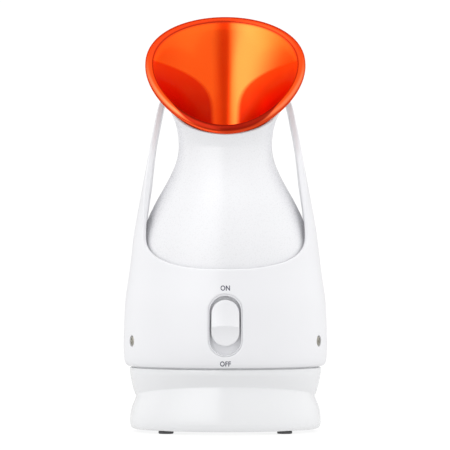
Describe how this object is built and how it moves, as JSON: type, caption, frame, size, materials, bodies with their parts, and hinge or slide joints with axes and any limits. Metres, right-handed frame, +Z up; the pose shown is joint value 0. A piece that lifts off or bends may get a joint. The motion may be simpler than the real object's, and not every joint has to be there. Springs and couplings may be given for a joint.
{
  "type": "facial steamer",
  "caption": "Upright facial steamer: vase-shaped steam tower in a shell with a handle loop, amber horn nozzle, slide switch and waisted base on rubber feet.",
  "frame": {"origin": "on the floor, under the steamer's upright axis, level with the bottoms of the feet", "axes": "+Z up; the front with the switch faces -Y; +X is to the viewer's right when facing the switch"},
  "size_m": [0.12, 0.1216, 0.2466],
  "materials": {
    "shell_white": "satin moulded plastic",
    "tower_white": "satin moulded plastic",
    "base_white": "glossy moulded plastic",
    "trim_white": "glossy moulded plastic",
    "amber": "clear amber plastic, polished",
    "silicone": "translucent silicone",
    "foot_rubber": "matt rubber",
    "screw_steel": "zinc-plated steel",
    "clamp_steel": "bare steel",
    "aluminium": "cast, as machined",
    "frame_plastic": "matt moulded plastic",
    "black_plastic": "matt moulded plastic",
    "board_green": "solder mask",
    "fuse_ceramic": "glazed",
    "terminal_white": "matt moulded plastic",
    "pin_brass": "bright",
    "red_wire": "insulated wire",
    "pale_wire": "insulated wire"
  },
  "bodies": {
    "steamer": {"main_shell": "shell_white", "steam_tower": "tower_white", "base_housing": "base_white", "base_plate": "base_white", "switch_bezel": "trim_white", "tank_gasket": "silicone", "needle_grommet": "silicone", "foot_front_left": "foot_rubber", "foot_front_right": "foot_rubber", "foot_rear_left": "foot_rubber", "foot_rear_right": "foot_rubber", "base_screw_front_left": "screw_steel", "base_screw_front_right": "screw_steel", "base_screw_rear_left": "screw_steel", "base_screw_rear_right": "screw_steel", "shell_screw_front_left": "screw_steel", "shell_screw_front_right": "screw_steel", "shell_screw_rear_left": "screw_steel", "shell_screw_rear_right": "screw_steel", "carrier_screw_front_left": "screw_steel", "carrier_screw_front_right": "screw_steel", "carrier_screw_rear_left": "screw_steel", "carrier_screw_rear_right": "screw_steel", "tower_screw_left": "screw_steel", "tower_screw_right": "screw_steel", "heater_screw_left": "screw_steel", "heater_screw_right": "screw_steel", "board_screw_left": "screw_steel", "board_screw_right": "screw_steel", "switch_screw_bottom": "screw_steel", "switch_screw_top": "screw_steel", "heater_clamp": "clamp_steel", "thermal_fuse": "clamp_steel", "ion_needle": "clamp_steel", "boiler_tank": "aluminium", "heater_plate": "aluminium", "tank_carrier": "frame_plastic", "steam_chimney": "frame_plastic", "thermostat": "black_plastic", "switch_body": "black_plastic", "ion_module": "black_plastic", "power_inlet": "black_plastic", "board_capacitor": "black_plastic", "control_board": "board_green", "board_fuse": "fuse_ceramic", "board_terminal": "terminal_white", "inlet_pin_left": "pin_brass", "inlet_pin_right": "pin_brass", "live_wire": "red_wire", "heater_wire": "red_wire", "neutral_wire": "pale_wire", "ion_wire": "pale_wire"},
    "button": {"power_button": "trim_white", "switch_lever": "black_plastic"},
    "nozzle": {"nozzle_cup": "amber", "nozzle_seal": "silicone", "splash_guard": "amber"}
  },
  "joints": [
    {"name": "power_slide", "type": "slide", "parent": "steamer", "child": "button", "axis": [0, 0, 1], "range_m": [-0.004, 0]},
    {"name": "nozzle_lift", "type": "slide", "parent": "steamer", "child": "nozzle", "axis": [0, 0, 1], "range_m": [0, 0.06]}
  ]
}
